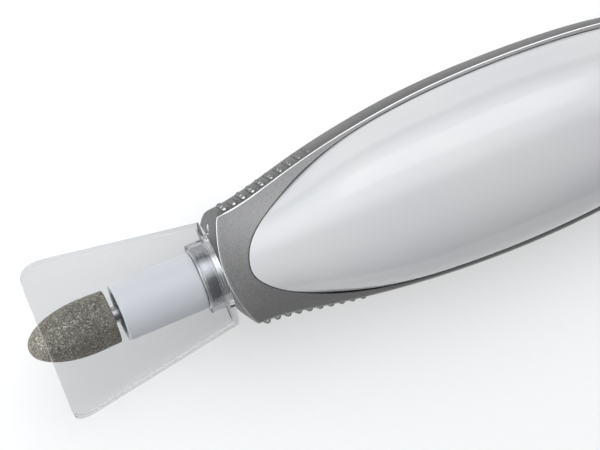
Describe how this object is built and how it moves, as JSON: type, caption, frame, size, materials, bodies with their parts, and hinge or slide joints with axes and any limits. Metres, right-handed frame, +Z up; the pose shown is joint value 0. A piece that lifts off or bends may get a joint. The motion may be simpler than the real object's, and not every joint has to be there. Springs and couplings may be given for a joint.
{
  "type": "electric callus remover",
  "caption": "Hand-held motor drill with a clear dust hood, chrome collar and a bullet-shaped abrasive bit for smoothing hard skin.",
  "frame": {"origin": "under the middle of the object's length, at the height of the flat land on the belly cover that it rests on", "axes": "+X along the spindle from the bit's tip to the power socket; +Z up, out of the white top panel; +Y to the side of the nose light"},
  "size_m": [0.142, 0.0344, 0.0309],
  "materials": {
    "frame_silver": "fine metallic silver-grey, satin",
    "gloss_white": "high-gloss white moulding",
    "sleeve_white": "satin white moulding",
    "collar_chrome": "turned, polished",
    "clear_plastic": "clear moulded plastic",
    "abrasive": "fine sparkling abrasive grit",
    "steel": "bright ground steel",
    "spring_steel": "dark spring steel",
    "bronze": "sintered bronze, oiled",
    "black_plastic": "black moulding",
    "grey_plastic": "grey moulding",
    "coupling_red": "tough nylon",
    "magnet": "sintered ferrite",
    "copper": "enamelled copper",
    "carbon": "carbon",
    "board_green": "solder mask",
    "lead_red": "wire insulation",
    "lens_clear": "clear lens"
  },
  "bodies": {
    "housing": {"main_frame": "frame_silver", "grip_nubs_left": "frame_silver", "grip_nubs_right": "frame_silver", "belly_cover": "gloss_white", "top_cover": "gloss_white", "housing_screws": "steel", "board_screws": "steel", "nose_sleeve": "sleeve_white", "collar_ring": "collar_chrome", "bearing_carrier": "grey_plastic", "front_bush": "bronze", "rear_bush": "bronze", "motor_can": "steel", "motor_bushes": "bronze", "motor_end_cap": "black_plastic", "motor_terminals": "copper", "motor_magnets": "magnet", "motor_brushes": "carbon", "switch_body": "black_plastic", "circuit_board": "board_green", "board_components": "black_plastic", "light_window": "lens_clear", "light_diode": "lens_clear", "power_socket": "black_plastic", "socket_pin": "steel", "socket_bezel": "grey_plastic", "light_leads": "lead_red", "motor_leads": "lead_red", "socket_leads": "lead_red"},
    "drive": {"spindle": "steel", "chuck_spring_ring": "spring_steel", "retaining_ring": "spring_steel", "drive_coupling": "coupling_red", "motor_shaft": "steel", "rotor_core": "spring_steel", "rotor_windings": "copper", "commutator": "copper"},
    "bit": {"bit_head": "abrasive", "bit_shank": "steel"},
    "shield": {"dust_shield": "clear_plastic"},
    "switch": {"switch_slider": "grey_plastic", "switch_lever": "black_plastic"}
  },
  "joints": [
    {"name": "drive_spin", "type": "hinge", "parent": "housing", "child": "drive", "pos_m": [-0.035, 0, 0.016], "axis": [1, 0, 0], "continuous": true},
    {"name": "bit_pull", "type": "slide", "parent": "drive", "child": "bit", "axis": [-1, 0, 0], "range_m": [0, 0.03]},
    {"name": "shield_pull", "type": "slide", "parent": "housing", "child": "shield", "axis": [-1, 0, 0], "range_m": [0, 0.042]},
    {"name": "switch_slide", "type": "slide", "parent": "housing", "child": "switch", "axis": [1, 0, 0], "range_m": [-0.0026, 0.0026]}
  ]
}
